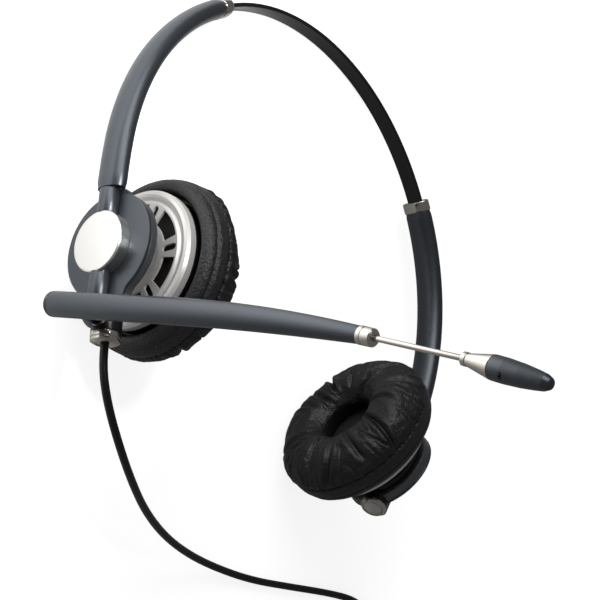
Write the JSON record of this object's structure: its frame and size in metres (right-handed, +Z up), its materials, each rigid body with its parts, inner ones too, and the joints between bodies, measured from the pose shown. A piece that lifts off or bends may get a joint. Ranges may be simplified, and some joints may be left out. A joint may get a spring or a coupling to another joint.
{
  "type": "headset",
  "caption": "Binaural office headset: slim sprung headband, oval sliding arms, padded ear cushions, a swinging telescopic boom microphone and a cord with a flat plug.",
  "frame": {"origin": "centre of the bounding box of the headset without its cord, on the table plane that it lies on", "axes": "+X across the head towards the plain ear cup, +Y towards the crown of the headband, +Z up off the table, the way the wearer faces"},
  "size_m": [0.2544, 0.2402, 0.2101],
  "materials": {
    "spring_steel": "brushed spring steel",
    "band_black": "gloss black cover",
    "graphite": "satin graphite grey paint",
    "nickel": "polished warm nickel",
    "rim_grey": "satin grey",
    "cap_nickel": "satin pearl nickel",
    "black_plastic": "black, fairly glossy",
    "white_plastic": "plain",
    "speaker_silver": "satin silver",
    "cloth": "fine black woven",
    "magnet": "plated",
    "diaphragm": "thin film",
    "base_leatherette": "grained, matt",
    "leatherette": "soft black leatherette",
    "cord_black": "satin black",
    "brass": "plated"
  },
  "bodies": {
    "headband": {"headband_spring": "spring_steel", "headband_cover": "band_black", "headband_end_stops": "band_black"},
    "left_arm": {"left_arm_tube": "graphite", "left_arm_ferrule": "nickel"},
    "right_arm": {"right_arm_tube": "graphite", "right_arm_ferrule": "nickel"},
    "left_hub": {"left_hub_face_plate": "graphite", "left_hub_housing": "rim_grey", "left_hub_cap": "cap_nickel", "left_swivel_pin": "nickel", "left_hub_back_shell": "black_plastic", "left_lower_post": "black_plastic", "left_cord_ring": "nickel", "cord_strain_relief": "cord_black", "cord_tube": "cord_black", "cord_coil": "cord_black", "plug_boot": "cord_black", "plug_body": "black_plastic", "plug_contacts": "brass"},
    "right_hub": {"right_hub_face_plate": "graphite", "right_hub_housing": "rim_grey", "right_hub_cap": "cap_nickel", "right_swivel_pin": "nickel", "right_hub_back_shell": "black_plastic", "right_lower_post": "black_plastic", "right_post_cap": "rim_grey"},
    "left_ball": {"left_cup_ball": "white_plastic"},
    "right_ball": {"right_cup_ball": "white_plastic"},
    "left_cup": {"left_speaker_back_plate": "speaker_silver", "left_cup_stud": "nickel", "left_damping_cloth": "cloth", "left_driver_frame": "black_plastic", "left_driver_magnet": "magnet", "left_driver_diaphragm": "diaphragm", "left_speaker_baffle": "black_plastic", "left_ear_mesh": "cloth", "left_cushion_base": "base_leatherette", "left_ear_cushion": "leatherette"},
    "right_cup": {"right_speaker_back_plate": "speaker_silver", "right_cup_stud": "nickel", "right_damping_cloth": "cloth", "right_driver_frame": "black_plastic", "right_driver_magnet": "magnet", "right_driver_diaphragm": "diaphragm", "right_speaker_baffle": "black_plastic", "right_ear_mesh": "cloth", "right_cushion_base": "base_leatherette", "right_ear_cushion": "leatherette"},
    "boom": {"boom_tube": "graphite", "boom_pivot_pin": "nickel", "boom_friction_washer": "white_plastic", "boom_end_cap": "graphite", "boom_ferrule": "nickel", "boom_rod_guide": "white_plastic"},
    "microphone": {"boom_rod": "nickel", "microphone_cone": "nickel", "microphone_housing": "graphite", "microphone_capsule": "magnet"}
  },
  "joints": [
    {"name": "left_arm_telescope", "type": "hinge", "parent": "headband", "child": "left_arm", "pos_m": [0, -0.00385, 0.02231], "axis": [-0.0154, 0.2079, 0.978], "range_deg": [-8, 12]},
    {"name": "left_hub_swivel", "type": "hinge", "parent": "left_arm", "child": "left_hub", "pos_m": [-0.08515, -0.03947, 0.02852], "axis": [-0.2164, 0.9539, -0.2081], "range_deg": [-10, 10]},
    {"name": "left_ball_pitch", "type": "hinge", "parent": "left_hub", "child": "left_ball", "pos_m": [-0.07378, -0.04846, 0.03071], "axis": [-0.0241, 0.2079, 0.9779], "range_deg": [-6, 6]},
    {"name": "left_cup_yaw", "type": "hinge", "parent": "left_ball", "child": "left_cup", "pos_m": [-0.07378, -0.04846, 0.03071], "axis": [-0.2164, 0.9539, -0.2081], "range_deg": [-6, 6]},
    {"name": "right_arm_telescope", "type": "hinge", "parent": "headband", "child": "right_arm", "pos_m": [0, -0.00385, 0.02231], "axis": [0.0154, -0.2079, -0.978], "range_deg": [-8, 12]},
    {"name": "right_hub_swivel", "type": "hinge", "parent": "right_arm", "child": "right_hub", "pos_m": [0.08569, -0.03902, 0.0314], "axis": [0.2645, 0.948, -0.177], "range_deg": [-10, 10]},
    {"name": "right_ball_pitch", "type": "hinge", "parent": "right_hub", "child": "right_ball", "pos_m": [0.07391, -0.04772, 0.03216], "axis": [0.0903, -0.2071, -0.9742], "range_deg": [-6, 6]},
    {"name": "right_cup_yaw", "type": "hinge", "parent": "right_ball", "child": "right_cup", "pos_m": [0.07391, -0.04772, 0.03216], "axis": [0.2645, 0.948, -0.177], "range_deg": [-6, 6]},
    {"name": "boom_swing", "type": "hinge", "parent": "left_hub", "child": "boom", "pos_m": [-0.08683, -0.07455, 0.03593], "axis": [-0.976, -0.2166, 0.022], "range_deg": [-45, 225]},
    {"name": "rod_slide", "type": "slide", "parent": "boom", "child": "microphone", "axis": [0.0462, -0.1073, 0.9932], "range_m": [-0.018, 0.008]}
  ]
}
